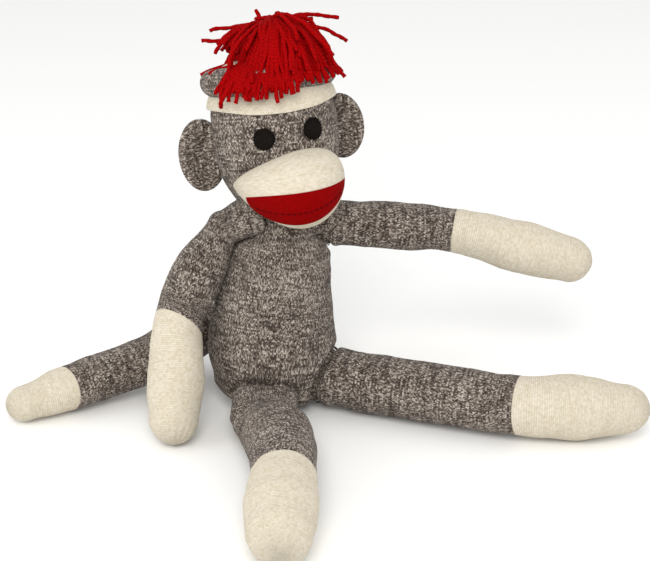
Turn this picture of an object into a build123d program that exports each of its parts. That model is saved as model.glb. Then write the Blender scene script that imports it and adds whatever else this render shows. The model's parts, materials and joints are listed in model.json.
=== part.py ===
from build123d import *
import os
from math import asin, atan2, cos, degrees, radians, sin, sqrt

# A stuffed sock monkey sitting on its flat seat. Millimetres.
# The seat lies on Z = 0 with its centre near the origin, the chest faces -Y,
# and +X is the monkey's own left side.

# ---- Driving dimensions ------------------------------------------------------------

FABRIC = 1.6  # thickness of a knitted cover
BEND_GAP = 0.4  # clearance between a ball and the dish that turns on it
PLUG = 3.0  # radius of the filling hole in each cover
ROOT_RIM = 80.0  # half angle of the dish at a limb's root, degrees
BEND_RIM = 62.0  # half angle of the dish at a wrist, an ankle or the tail's bend
THREAD = 0.5  # radius of the sewing thread
THREAD_CLEAR = 0.09  # gap between the thread and the root ball it lies on
STITCH_CIRCLE = 4.6  # radius of the circle of stitches that closes a root

# Torso: a pear shape around a leaning axis, cut flat for the seat. Its outline is
# (distance along the axis from TORSO_LOW, radius), joined by arcs through every other point.
TORSO_LOW = Vector(-3, 0, 46)
TORSO_TOP = Vector(4, 3, 143)
TORSO_OUTLINE = [(-52, 37.5), (-28, 47.8), (0, 49.5), (38, 46), (66, 40), (84, 32.5), (97, 24)]
SEAT_LEVEL = 0.0

# Ladder stitches that close the back.
SEAM_LOW = 62.0
SEAM_STEP = 5.0
SEAM_COUNT = 9
STITCH_LONG = 5.0
STITCH_HIGH = 1.2
STITCH_PROUD = 0.9

# Neck ball, in a dish on the torso and a dish under the head.
NECK = Vector(6, 3, 150)
NECK_BALL = 17.0

# The head's own frame stands on the neck ball: turned, then tipped back, then leaning.
HEAD_TURN = -20.0
HEAD_TIP = -16.0
HEAD_LEAN = -4.0
HEAD_TILT = Rotation(HEAD_TIP, 0, 0) * Rotation(0, HEAD_LEAN, 0)
HEAD = Plane(Location(NECK) * Rotation(0, 0, HEAD_TURN) * HEAD_TILT)

# Head outline: (height above the neck, radius), joined by arcs through every other point,
# and closed by a shallow cone under the hat.
HEAD_OUTLINE = [(0.5, 17.5), (12, 34.5), (36, 44.5), (62, 47.3), (84, 45.4), (95, 41), (101, 31)]
HEAD_TOP = 106.0

HEAD_MIDDLE = 62.0  # height of the middle of the head

# Muzzle: an egg lying across the face, with a round cap at each end of a swelling middle.
# Its centre is in the head's frame.
MUZZLE_AT = (-1, -44, 22)
MUZZLE_HALF_WIDTH = 41.0
MUZZLE_RADIUS = 28.5
MUZZLE_CAP = 19.0
MUZZLE_CENTRE = HEAD.from_local_coords(Vector(MUZZLE_AT))
FELT = 1.3  # thickness of the mouth patch
MOUTH_CORNER = (36, -2)
MOUTH_TOP = -4.5
MOUTH_BOTTOM = -25.0
LIP_DROP = 15.0
LIP_WIDTH = 1.4
LIP_PROUD = 0.6

# Eyes: round felt patches at (across, up) in the head's frame.
EYE_RADIUS = 7.8
EYE_THICK = 1.6
EYES = {"right_eye": (-14, 60), "left_eye": (22, 63)}

# Ears: padded ovals standing out from the sides of the head. Middle in the head's frame,
# half width and half height.
EAR_THICK = 12.0
EAR_ROUND = 4.5
EARS = {
    "right_ear": (Vector(-56, 4, 50.5), 18.0, 27.0),
    "left_ear": (Vector(52.5, 4, 55), 16.5, 24.0),
}

# Hat: a cream band, a rolled grey brim above it and a cream top, all around the head's axis.
HAT_FABRIC = 2.4
BAND_LOW = 80.0
BAND_TOP = 95.0
ROLL_LEVEL = 99.0
ROLL_RING = 41.0
ROLL_HALF_WIDTH = 10.0
ROLL_HALF_HEIGHT = 9.5

# Pompom: a dome of yarn on the hat, held by a tie.
POMPOM_AT = (3, -8)
POMPOM_FLOOR = 109.5
POMPOM_RADIUS = 42.0
POMPOM_HEIGHT = 40.0
TIE_RADIUS = 3.0
TIE_TOP = 122.0

# Limbs and tail: the pivot at the root, the pivot at the bend and the centre of the round end.
LIMB_POINTS = {
    "left_arm": (Vector(45.5, -12.5, 139), Vector(126, -48, 128.5), Vector(203, -92, 104)),
    "right_arm": (Vector(-40, 15, 143), Vector(-81, 11, 80), Vector(-107, -29, 20)),
    "left_leg": (Vector(37, -58, 25), Vector(117, -147, 25.5), Vector(183, -188, 24)),
    "right_leg": (Vector(-43, -61, 27), Vector(-81, -151, 32), Vector(-113, -204, 23.5)),
    "tail": (Vector(-34, 54, 43), Vector(-92, 53, 27), Vector(-190, 55, 16)),
}
# Radii of the root ball, the middle of the first length, the bend, the middle of the last
# length and the round end.
LIMB_RADII = {
    "left_arm": (13.5, 17.8, 16.6, 19.4, 17.0),
    "right_arm": (14.0, 18.0, 16.8, 20.4, 18.5),
    "left_leg": (19.0, 22.4, 21.4, 24.4, 21.0),
    "right_leg": (20.5, 24.0, 22.0, 25.0, 22.0),
    "tail": (11.0, 17.5, 17.0, 17.8, 14.5),
}
# What each limb's root, first length and last length are called.
LIMB_NAMES = {
    "left_arm": ("left_shoulder", "left_sleeve", "left_hand"),
    "right_arm": ("right_shoulder", "right_sleeve", "right_hand"),
    "left_leg": ("left_hip", "left_leg", "left_foot"),
    "right_leg": ("right_hip", "right_leg", "right_foot"),
    "tail": ("tail_root", "tail_base", "tail_end"),
}
TAIL_TIP_LENGTH = 40.0  # cream stretch at the end of the tail, without its round end


# ---- Profiles ----------------------------------------------------------------------


def side_plane(start, end):
    """Plane through a round part's axis: local X runs along the axis, local Y is the radius."""
    along = (end - start).normalized()
    return Plane(origin=start, x_dir=along, z_dir=along.cross(Vector(0, 0, 1)))


def polar(radius, angle):
    """Point at this radius and at this angle in degrees from the axis."""
    return (radius * cos(radians(angle)), radius * sin(radians(angle)))


def arcs_through(points):
    """Arcs joined end to end, each through three of the points."""
    for first in range(0, len(points) - 2, 2):
        ThreePointArc(points[first], points[first + 1], points[first + 2])


def filling_mouth(dish, inset):
    """Outline of the filling from the middle of a dish out to the inside of the cover."""
    hole_angle = degrees(asin(PLUG / dish))
    inner = (sqrt((dish + inset) ** 2 - PLUG**2), PLUG)
    ThreePointArc((dish, 0), polar(dish, hole_angle / 2), polar(dish, hole_angle))
    Line(polar(dish, hole_angle), inner)
    return inner


def dish_arc(dish, inset, rim_angle):
    """Outline of a dish around the origin, drawn inset from the skin, and the point at its rim."""
    rim_at = degrees(asin((dish * sin(radians(rim_angle)) - inset) / (dish + inset)))
    start = (dish, 0)
    start_angle = 0
    if inset > 0:
        start = filling_mouth(dish, inset)
        start_angle = degrees(asin(PLUG / (dish + inset)))
    rim = polar(dish + inset, rim_at)
    ThreePointArc(start, polar(dish + inset, (start_angle + rim_at) / 2), rim)
    return rim


def drawn_in(point, inset):
    """Point of the head's outline moved this far towards the middle of the head."""
    up, radius = point
    reach = sqrt((up - HEAD_MIDDLE) ** 2 + radius**2)
    kept = (reach - inset) / reach
    return (HEAD_MIDDLE + (up - HEAD_MIDDLE) * kept, radius * kept)


def torso_outline(inset):
    """Half outline of the torso, drawn inset from the skin."""
    points = [(along, radius - inset) for along, radius in TORSO_OUTLINE]
    top = TORSO_OUTLINE[-1][0] - inset
    points[-1] = (top, points[-1][1])
    bottom = points[0][0]
    with BuildSketch(side_plane(TORSO_LOW, TORSO_TOP)) as outline:
        with BuildLine():
            arcs_through(points)
            Polyline(points[-1], (top, 0), (bottom, 0), points[0])
        make_face()
    return outline.sketch


def head_outline(inset):
    """Half outline of the head without its dish, drawn inset from the skin."""
    points = [drawn_in(point, inset) for point in HEAD_OUTLINE]
    with BuildSketch(Plane(origin=NECK, x_dir=HEAD.z_dir, z_dir=-HEAD.x_dir)) as outline:
        with BuildLine():
            arcs_through(points)
            Polyline(points[-1], (HEAD_TOP - inset, 0), (points[0][0], 0), points[0])
        make_face()
    return outline.sketch


def egg_outline(inset):
    """Half outline of the muzzle's egg on its side towards the head, drawn inset from the skin."""
    cap_at = MUZZLE_HALF_WIDTH - MUZZLE_CAP
    rise = MUZZLE_RADIUS - MUZZLE_CAP
    middle_drop = (cap_at**2 - rise**2) / (2 * rise)
    join_angle = degrees(atan2(middle_drop, cap_at))
    cap = MUZZLE_CAP - inset
    join_x, join_y = polar(cap, join_angle)
    shoulder_x, shoulder_y = polar(cap, join_angle / 2)
    with BuildSketch(Plane(origin=MUZZLE_CENTRE, x_dir=HEAD.x_dir, z_dir=HEAD.z_dir)) as outline:
        with BuildLine():
            arcs_through(
                [
                    (-cap_at - cap, 0),
                    (-cap_at - shoulder_x, shoulder_y),
                    (-cap_at - join_x, join_y),
                    (0, MUZZLE_RADIUS - inset),
                    (cap_at + join_x, join_y),
                    (cap_at + shoulder_x, shoulder_y),
                    (cap_at + cap, 0),
                ]
            )
            Line((cap_at + cap, 0), (-cap_at - cap, 0))
        make_face()
    return outline.sketch


def ball_outline(plane, ball, inset):
    """Half outline of a root ball whose filling hole is on the plane's local X axis."""
    inner = ball - inset
    hole_angle = degrees(asin(PLUG / ball))
    with BuildSketch(plane) as outline:
        with BuildLine():
            if inset == 0:
                ThreePointArc((-ball, 0), (0, ball), (ball, 0))
            else:
                mouth = (sqrt(inner**2 - PLUG**2), PLUG)
                ThreePointArc((-inner, 0), (0, inner), mouth)
                Line(mouth, polar(ball, hole_angle))
                ThreePointArc(polar(ball, hole_angle), polar(ball, hole_angle / 2), (ball, 0))
            Line((ball, 0), (-inner, 0))
        make_face()
    return outline.sketch


def tube_outline(plane, length, dish, rim_angle, middle, end, inset):
    """Half outline of a stuffed tube: a dish at the start, a swelling skin and a round end."""
    end_radius = end - inset
    with BuildSketch(plane) as outline:
        with BuildLine():
            rim = dish_arc(dish, inset, rim_angle)
            ThreePointArc(rim, (length / 2, middle - inset), (length, end_radius))
            ThreePointArc(
                (length, end_radius),
                (length + end_radius * sin(radians(45)), end_radius * cos(radians(45))),
                (length + end_radius, 0),
            )
            Line((length + end_radius, 0), (dish, 0))
        make_face()
    return outline.sketch


# ---- Axes --------------------------------------------------------------------------

os.makedirs("parts", exist_ok=True)

neck_dish = NECK_BALL + BEND_GAP
torso_axis = Axis(TORSO_LOW, TORSO_TOP - TORSO_LOW)
head_axis = Axis(NECK, HEAD.z_dir)
muzzle_axis = Axis(MUZZLE_CENTRE, HEAD.x_dir)


# ---- Torso and neck ----------------------------------------------------------------

with BuildPart() as torso_stuffing:
    revolve(torso_outline(FABRIC), axis=torso_axis)
    with Locations(NECK):
        Sphere(neck_dish + FABRIC, mode=Mode.SUBTRACT)
    split(bisect_by=Plane.XY.offset(SEAT_LEVEL + FABRIC), keep=Keep.TOP)
    with Locations(side_plane(TORSO_LOW, TORSO_TOP)):
        with Locations((TORSO_OUTLINE[-1][0] - NECK_BALL, 0, 0)):
            Cylinder(PLUG, NECK_BALL, rotation=(0, 90, 0))
    with Locations(NECK):
        Sphere(neck_dish, mode=Mode.SUBTRACT)
torso_stuffing.part.label = "torso_stuffing"
export_step(torso_stuffing.part, "parts/torso_stuffing.step")

with BuildPart() as torso_cover:
    revolve(torso_outline(0), axis=torso_axis)
    with Locations(NECK):
        Sphere(neck_dish, mode=Mode.SUBTRACT)
    split(bisect_by=Plane.XY.offset(SEAT_LEVEL), keep=Keep.TOP)
    add(torso_stuffing.part, mode=Mode.SUBTRACT)
torso_cover.part.label = "torso_cover"
export_step(torso_cover.part, "parts/torso_cover.step")

seam_out = TORSO_OUTLINE[2][1]
stitches_at = [(0, FABRIC + seam_out, SEAM_LOW + SEAM_STEP * n) for n in range(SEAM_COUNT)]
with BuildPart() as closing_seam:
    with Locations(*stitches_at):
        Box(STITCH_LONG, seam_out, STITCH_HIGH)
    revolve(torso_outline(-STITCH_PROUD), axis=torso_axis, mode=Mode.INTERSECT)
    revolve(torso_outline(0), axis=torso_axis, mode=Mode.SUBTRACT)
closing_seam.part.label = "closing_seam"
export_step(closing_seam.part, "parts/closing_seam.step")

neck_plane = side_plane(NECK, TORSO_LOW)
neck_axis = Axis(NECK, TORSO_LOW - NECK)

with BuildPart() as neck_stuffing:
    revolve(ball_outline(neck_plane, NECK_BALL, FABRIC), axis=neck_axis)
neck_stuffing.part.label = "neck_stuffing"
export_step(neck_stuffing.part, "parts/neck_stuffing.step")

with BuildPart() as neck_cover:
    revolve(ball_outline(neck_plane, NECK_BALL, 0), axis=neck_axis)
    add(neck_stuffing.part, mode=Mode.SUBTRACT)
neck_cover.part.label = "neck_cover"
export_step(neck_cover.part, "parts/neck_cover.step")


# ---- Head --------------------------------------------------------------------------

with BuildPart() as head_form:
    revolve(head_outline(0), axis=head_axis)
    with Locations(NECK):
        Sphere(neck_dish, mode=Mode.SUBTRACT)

with BuildPart() as head_stuffing:
    revolve(head_outline(FABRIC), axis=head_axis)
    with Locations(NECK):
        Sphere(neck_dish + FABRIC, mode=Mode.SUBTRACT)
    with BuildSketch(HEAD.offset(neck_dish - FABRIC)):
        Circle(PLUG)
    extrude(amount=3 * FABRIC)
    with Locations(NECK):
        Sphere(neck_dish, mode=Mode.SUBTRACT)
head_stuffing.part.label = "head_stuffing"
export_step(head_stuffing.part, "parts/head_stuffing.step")

with BuildPart() as head_cover:
    add(head_form.part)
    add(head_stuffing.part, mode=Mode.SUBTRACT)
head_cover.part.label = "head_cover"
export_step(head_cover.part, "parts/head_cover.step")

for eye_name, (across, up) in EYES.items():
    with BuildPart() as eye:
        with BuildSketch(Plane(origin=NECK, x_dir=HEAD.x_dir, z_dir=-HEAD.y_dir)):
            with Locations((across, up)):
                Circle(EYE_RADIUS)
        extrude(amount=2 * HEAD_OUTLINE[2][1])
        revolve(head_outline(-EYE_THICK), axis=head_axis, mode=Mode.INTERSECT)
        add(head_form.part, mode=Mode.SUBTRACT)
    eye.part.label = eye_name
    export_step(eye.part, f"parts/{eye_name}.step")

for ear_name, (ear_at, half_width, half_height) in EARS.items():
    ear_plane = Plane(origin=HEAD.from_local_coords(ear_at), x_dir=HEAD.x_dir, z_dir=-HEAD.y_dir)
    with BuildPart() as ear_padding:
        with BuildSketch(ear_plane):
            Ellipse(half_width - FABRIC, half_height - FABRIC)
        extrude(amount=EAR_THICK / 2 - FABRIC, both=True)
        fillet(ear_padding.edges(), radius=EAR_ROUND - FABRIC)
        add(head_form.part, mode=Mode.SUBTRACT)
    ear_padding.part.label = f"{ear_name}_padding"
    export_step(ear_padding.part, f"parts/{ear_name}_padding.step")

    with BuildPart() as ear_cover:
        with BuildSketch(ear_plane):
            Ellipse(half_width, half_height)
        extrude(amount=EAR_THICK / 2, both=True)
        fillet(ear_cover.edges(), radius=EAR_ROUND)
        add(head_form.part, mode=Mode.SUBTRACT)
        add(ear_padding.part, mode=Mode.SUBTRACT)
    ear_cover.part.label = f"{ear_name}_cover"
    export_step(ear_cover.part, f"parts/{ear_name}_cover.step")


# ---- Muzzle and mouth --------------------------------------------------------------

mouth_plane = Plane(origin=MUZZLE_CENTRE, x_dir=HEAD.x_dir, z_dir=-HEAD.y_dir)
corner_x, corner_y = MOUTH_CORNER

with BuildPart() as muzzle_stuffing:
    revolve(egg_outline(FABRIC), axis=muzzle_axis)
    add(head_form.part, mode=Mode.SUBTRACT)
muzzle_stuffing.part.label = "muzzle_stuffing"
export_step(muzzle_stuffing.part, "parts/muzzle_stuffing.step")

with BuildPart() as muzzle_cover:
    revolve(egg_outline(0), axis=muzzle_axis)
    add(head_form.part, mode=Mode.SUBTRACT)
    add(muzzle_stuffing.part, mode=Mode.SUBTRACT)
muzzle_cover.part.label = "muzzle_cover"
export_step(muzzle_cover.part, "parts/muzzle_cover.step")

with BuildPart() as mouth_patch:
    with BuildSketch(mouth_plane):
        with BuildLine():
            ThreePointArc((-corner_x, corner_y), (0, MOUTH_TOP), (corner_x, corner_y))
            ThreePointArc((corner_x, corner_y), (0, MOUTH_BOTTOM), (-corner_x, corner_y))
        make_face()
    extrude(amount=MUZZLE_RADIUS + FELT)
    revolve(egg_outline(-FELT), axis=muzzle_axis, mode=Mode.INTERSECT)
    revolve(egg_outline(0), axis=muzzle_axis, mode=Mode.SUBTRACT)
mouth_patch.part.label = "mouth_patch"
export_step(mouth_patch.part, "parts/mouth_patch.step")

with BuildPart() as lip_stitching:
    with BuildSketch(mouth_plane):
        with BuildLine():
            ThreePointArc((-corner_x, corner_y), (0, -LIP_DROP), (corner_x, corner_y))
            ThreePointArc((corner_x, corner_y), (0, -LIP_DROP - LIP_WIDTH), (-corner_x, corner_y))
        make_face()
    extrude(amount=MUZZLE_RADIUS + FELT + LIP_PROUD)
    revolve(egg_outline(-FELT - LIP_PROUD), axis=muzzle_axis, mode=Mode.INTERSECT)
    revolve(egg_outline(-FELT), axis=muzzle_axis, mode=Mode.SUBTRACT)
lip_stitching.part.label = "lip_stitching"
export_step(lip_stitching.part, "parts/lip_stitching.step")


# ---- Hat ---------------------------------------------------------------------------

with BuildPart() as hat_band:
    with BuildSketch(HEAD.offset(BAND_LOW)):
        Circle(2 * ROLL_RING)
    extrude(amount=BAND_TOP - BAND_LOW)
    revolve(head_outline(-HAT_FABRIC), axis=head_axis, mode=Mode.INTERSECT)
    add(head_form.part, mode=Mode.SUBTRACT)
hat_band.part.label = "hat_band"
export_step(hat_band.part, "parts/hat_band.step")

with BuildPart() as hat_roll:
    with BuildSketch(Plane(origin=NECK, x_dir=HEAD.z_dir, z_dir=HEAD.x_dir)):
        with Locations((ROLL_LEVEL, ROLL_RING)):
            Ellipse(ROLL_HALF_HEIGHT, ROLL_HALF_WIDTH)
    revolve(axis=head_axis)
    add(head_form.part, mode=Mode.SUBTRACT)
    add(hat_band.part, mode=Mode.SUBTRACT)
hat_roll.part.label = "hat_roll"
export_step(hat_roll.part, "parts/hat_roll.step")

with BuildPart() as hat_top:
    with BuildSketch(HEAD.offset(BAND_TOP)):
        Circle(ROLL_RING)
    extrude(amount=BAND_TOP - BAND_LOW)
    revolve(head_outline(-HAT_FABRIC), axis=head_axis, mode=Mode.INTERSECT)
    add(head_form.part, mode=Mode.SUBTRACT)
    add(hat_roll.part, mode=Mode.SUBTRACT)
hat_top.part.label = "hat_top"
export_step(hat_top.part, "parts/hat_top.step")

with BuildPart() as pompom_tie:
    with BuildSketch(HEAD.offset(BAND_TOP)):
        with Locations(POMPOM_AT):
            Circle(TIE_RADIUS)
    extrude(amount=TIE_TOP - BAND_TOP)
    add(head_form.part, mode=Mode.SUBTRACT)
    add(hat_top.part, mode=Mode.SUBTRACT)
pompom_tie.part.label = "pompom_tie"
export_step(pompom_tie.part, "parts/pompom_tie.step")

pompom_foot = HEAD.from_local_coords(Vector(*POMPOM_AT, POMPOM_FLOOR))
with BuildPart() as pompom:
    with BuildSketch(Plane(origin=pompom_foot, x_dir=HEAD.z_dir, z_dir=HEAD.x_dir)):
        with BuildLine():
            EllipticalCenterArc((0, 0), POMPOM_HEIGHT, POMPOM_RADIUS, start_angle=0, arc_size=90)
            Polyline((0, POMPOM_RADIUS), (0, 0), (POMPOM_HEIGHT, 0))
        make_face()
    revolve(axis=Axis(pompom_foot, HEAD.z_dir))
    add(pompom_tie.part, mode=Mode.SUBTRACT)
pompom.part.label = "pompom"
export_step(pompom.part, "parts/pompom.step")


# ---- Arms, legs and tail -----------------------------------------------------------

torso_run = TORSO_TOP - TORSO_LOW
for limb, (root_name, first_name, last_name) in LIMB_NAMES.items():
    root, bend, tip = LIMB_POINTS[limb]
    ball, upper, middle, lower, end = LIMB_RADII[limb]
    inward = TORSO_LOW + torso_run * ((root.Z - TORSO_LOW.Z) / torso_run.Z)
    ball_plane = side_plane(root, inward)
    ball_axis = Axis(root, inward - root)
    first_plane = side_plane(root, bend)
    first_axis = Axis(root, bend - root)
    first_length = (bend - root).length
    last_plane = side_plane(bend, tip)
    last_axis = Axis(bend, tip - bend)
    last_length = (tip - bend).length

    with BuildPart() as root_stuffing:
        revolve(ball_outline(ball_plane, ball, FABRIC), axis=ball_axis)
    root_stuffing.part.label = f"{root_name}_stuffing"
    export_step(root_stuffing.part, f"parts/{root_name}_stuffing.step")

    with BuildPart() as root_cover:
        revolve(ball_outline(ball_plane, ball, 0), axis=ball_axis)
        add(root_stuffing.part, mode=Mode.SUBTRACT)
    root_cover.part.label = f"{root_name}_cover"
    export_step(root_cover.part, f"parts/{root_name}_cover.step")

    with BuildPart() as root_stitches:
        with BuildSketch(ball_plane):
            with Locations(polar(ball + THREAD + THREAD_CLEAR, degrees(asin(STITCH_CIRCLE / ball)))):
                Circle(THREAD)
        revolve(axis=ball_axis)
    root_stitches.part.label = f"{root_name}_stitches"
    export_step(root_stitches.part, f"parts/{root_name}_stitches.step")

    with BuildPart() as first_stuffing:
        revolve(
            tube_outline(first_plane, first_length, ball + BEND_GAP, ROOT_RIM, upper, middle, FABRIC),
            axis=first_axis,
        )
    first_stuffing.part.label = f"{first_name}_stuffing"
    export_step(first_stuffing.part, f"parts/{first_name}_stuffing.step")

    with BuildPart() as first_cover:
        revolve(
            tube_outline(first_plane, first_length, ball + BEND_GAP, ROOT_RIM, upper, middle, 0),
            axis=first_axis,
        )
        add(first_stuffing.part, mode=Mode.SUBTRACT)
    first_cover.part.label = f"{first_name}_cover"
    export_step(first_cover.part, f"parts/{first_name}_cover.step")

    with BuildPart() as last_stuffing:
        revolve(
            tube_outline(last_plane, last_length, middle + BEND_GAP, BEND_RIM, lower, end, FABRIC),
            axis=last_axis,
        )
    last_stuffing.part.label = f"{last_name}_stuffing"
    export_step(last_stuffing.part, f"parts/{last_name}_stuffing.step")

    with BuildPart() as last_cover:
        revolve(
            tube_outline(last_plane, last_length, middle + BEND_GAP, BEND_RIM, lower, end, 0),
            axis=last_axis,
        )
        add(last_stuffing.part, mode=Mode.SUBTRACT)
        if limb == "tail":
            tip_start = tip - last_axis.direction * TAIL_TIP_LENGTH
            tip_cut = Plane(origin=tip_start, z_dir=last_axis.direction)
            split(bisect_by=tip_cut, keep=Keep.BOTTOM)
    last_cover.part.label = f"{last_name}_cover"
    export_step(last_cover.part, f"parts/{last_name}_cover.step")

with BuildPart() as tail_tip_cover:
    revolve(
        tube_outline(last_plane, last_length, middle + BEND_GAP, BEND_RIM, lower, end, 0),
        axis=last_axis,
    )
    add(last_stuffing.part, mode=Mode.SUBTRACT)
    split(bisect_by=tip_cut, keep=Keep.TOP)
tail_tip_cover.part.label = "tail_tip_cover"
export_step(tail_tip_cover.part, "parts/tail_tip_cover.step")
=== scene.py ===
import json
import math
import random

import bmesh
import bpy
import numpy as np
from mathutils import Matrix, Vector, noise


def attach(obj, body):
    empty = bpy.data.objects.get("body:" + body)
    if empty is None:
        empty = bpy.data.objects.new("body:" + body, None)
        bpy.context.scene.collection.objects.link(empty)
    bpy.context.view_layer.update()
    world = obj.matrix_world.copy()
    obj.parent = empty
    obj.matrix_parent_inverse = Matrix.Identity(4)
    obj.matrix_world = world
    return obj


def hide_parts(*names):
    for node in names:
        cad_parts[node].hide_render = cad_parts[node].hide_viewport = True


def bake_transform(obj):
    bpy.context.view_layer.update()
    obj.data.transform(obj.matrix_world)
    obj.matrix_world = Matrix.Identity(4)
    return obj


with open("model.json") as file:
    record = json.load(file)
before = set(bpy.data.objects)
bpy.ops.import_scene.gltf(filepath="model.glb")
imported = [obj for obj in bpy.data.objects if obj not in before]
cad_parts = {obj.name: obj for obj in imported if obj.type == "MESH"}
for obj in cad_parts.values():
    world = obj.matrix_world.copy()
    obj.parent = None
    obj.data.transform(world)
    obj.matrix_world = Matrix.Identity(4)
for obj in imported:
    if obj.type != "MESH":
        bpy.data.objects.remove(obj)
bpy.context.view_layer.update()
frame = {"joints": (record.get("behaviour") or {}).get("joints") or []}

# A stuffed sock monkey: its knitted skins, felt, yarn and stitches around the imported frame.
# Sizes are in millimetres up to joined, which turns them into the frame's metres.

MM = 0.001
UP = np.array((0.0, 0.0, 1.0))


# ---- Driving sizes ----

CELL = 1.7  # distance between the points of a skin
MERGE = 0.01  # points closer than this become one
WALE = 1.5  # width of a column of stitches
COURSE = 1.3  # height of a row of stitches
PUCKER = 0.9  # how far the stuffing's lumps move a skin
FLOOR_CLEAR = 0.5  # lowest a skin may come
FLOOR_SOFT = 3.0  # height below which a skin is pressed flat
LUMP = 16.0  # size of the stuffing's lumps
SMALL_LUMP = 6.0
SMALL_SHARE = 0.3  # how far the small lumps move a skin, as a share of the large ones
SMALL_SEED = 3.0
HIDDEN_CAPS = (3, 3)  # depth of an end that lies inside another piece
END_ANGLE = math.radians(87)  # how far round a rounded end its last ring is
# Rings at a cuff: how far in from its edge, and share of the radius. Even rings follow.
CUFF_EDGE = [(0.0, 0.9), (0.0, 0.985), (0.4, 1.0)]
CUFF_START = 0.8

# Torso and neck: (place along the leaning axis, radius).
TORSO_LOW = np.array((-3.0, 0.0, 46.0))
TORSO_TOP = np.array((4.0, 3.0, 143.0))
TORSO_OUTLINE = [(-26, 44.5), (0, 49.2), (38, 44.8), (66, 40.0), (84, 34.5), (96, 27)]
TORSO_SHIFT = [(-8, -5), (-8, -5), (-6, -1), (-2, 0), (0, 0), (0, 0)]  # in X and Y at each
TORSO_CAPS = (19.0, 9.0)  # depth of its rounded bottom and top
NECK_OUTLINE = [(-16, 29), (-5, 26), (6, 25)]
NECK_LENGTH = 22.0
NECK_FOLDS = 38
NECK_FOLD_DEPTH = 0.5

# Head: (height above the neck, radius) along the head's axis.
HEAD_OUTLINE = [(4, 24), (12, 34), (36, 44.5), (62, 47.3), (84, 45.4), (95, 41), (101, 31)]
HEAD_CAPS = (4.0, 4.0)

# Muzzle and mouth: heights are from the line through the muzzle's middle.
MUZZLE_AT = (1.2, -44.0, 20.2)
MUZZLE_HALF_WIDTH = 41.0
MUZZLE_RADIUS = 28.5
MUZZLE_SWEEP = 10.0  # how far its ends lie behind its middle
MUZZLE_LIFT = (8.4, 7.0)  # how far its right and left ends lie above its middle
MUZZLE_POINT = (0.66, 0.5)  # how pointed its right and left ends are: 0.5 is an ellipse
MUZZLE_SKEW = 0.22  # how far its fullest part lies towards its left end
MUZZLE_CELLS = (70, 110)  # points across it and around it
MUZZLE_LUMP = 18.0
MUZZLE_PUCKER = 0.5
MOUTH_MIDDLE = 2.8
MOUTH_HALF_WIDTH = 36.8
MOUTH_CORNERS = (-5.7, -2.0)
UPPER_LIP = (1.0, 1.0)  # height of its edge's middle, and how round the edge is: 0.5 is an ellipse
LOWER_LIP = (-22.6, 0.55)
LIP_SHARE = 0.55  # how far down the mouth the lips meet
LIP_REACH = 0.86  # how much of the mouth's half width the stitching takes
LIP_STITCH = 3.0
LIP_GAP = 1.0
LIP_THREAD = 0.42
LIP_PROUD = 0.85
LIP_SUNK = 0.5
LIP_POINTS = 6
FELT = 1.2
FELT_EDGE = (-0.6, 0.5)  # heights at which its edge goes down to the muzzle
FELT_ROWS = 26
FELT_COLUMNS = 90

EYES = {"right_eye": (-14.6, 60.0), "left_eye": (22.8, 62.9)}
EYE_RADIUS = 7.8
EYE_SIDES = 48
EYE_WAVE = 0.012  # how uneven its edge is, and how many times round
EYE_WAVES = 5
EYE_STITCHES = 22
EYE_THREAD = 0.28
# The patch and a stitch over its edge: share of the radius, and height above the head.
EYE_PROFILE = [(0.05, 2.0), (0.3, 1.97), (0.55, 1.93), (0.78, 1.85), (0.92, 1.6), (1, 1.05), (1, -0.55),
               (0.6, -0.75)]
EYE_STITCH = [(0.84, 1.3), (0.88, 2.1), (0.96, 2.0), (1.04, 1.2), (1.07, 0.2)]

# Ears: centre in the head's frame, half width and half height.
EARS = {"right_ear": ((-56.0, 4.0, 50.5), 18.0, 27.0), "left_ear": ((50.5, 4.0, 59.0), 17.0, 24.5)}
EAR_THICK = 12.0
EAR_RIM = 0.86  # share of its size at which the points come closer together
EAR_ROUND = 0.2  # share of its size over which its edge is rounded
EAR_SIDES = 96
EAR_ROWS = (22, 8)  # of points, up to the rim and in it
EAR_CUP = 3.4  # how deep its front is hollowed
EAR_HOLLOW = 0.8  # how deep its back is
CUP_SHARES = (0.25, 0.78)  # shares of its size between which they grow shallow
HOLLOW_SHARES = (0.1, 0.8)
EAR_LUMP = 12.0
EAR_PUCKER = 0.8
EAR_CURL = 0.0035  # how far its outer edge bends forwards, for each square of the distance

# Hat: heights and radii along the head's axis.
BAND_LOW = 78.5
BAND_TOP = 95.0
BAND_EDGE = 1.5  # half the band's thickness, and how far it reaches past both levels
BAND_CLEAR = 0.9
BAND_RAISED = 6.5  # how much higher its lower edge is at the sides than in front
RING_POINTS = 41  # round the section of the band and the roll
ROLL_LEVEL = 102.0
ROLL_RING = 41.0
ROLL_HALF_WIDTH = 10.0
ROLL_HALF_HEIGHT = 10.8
CROWN_LEVEL = 103.0
CROWN_RADIUS = 42.0
CROWN_RISE = 15.0
CROWN_FROM = -0.9  # angles above its level at which it starts and ends
CROWN_TO = math.pi / 2 - 0.03
CROWN_FLAT = 0.7  # how flat its top is: 1 is an ellipse
CROWN_ROWS = 34
HAT_RADIUS = 51.5  # of the roll's outside, which the yarn falls over
HAT_SLOPE = 1.1  # how fast that narrows above the roll's middle

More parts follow.
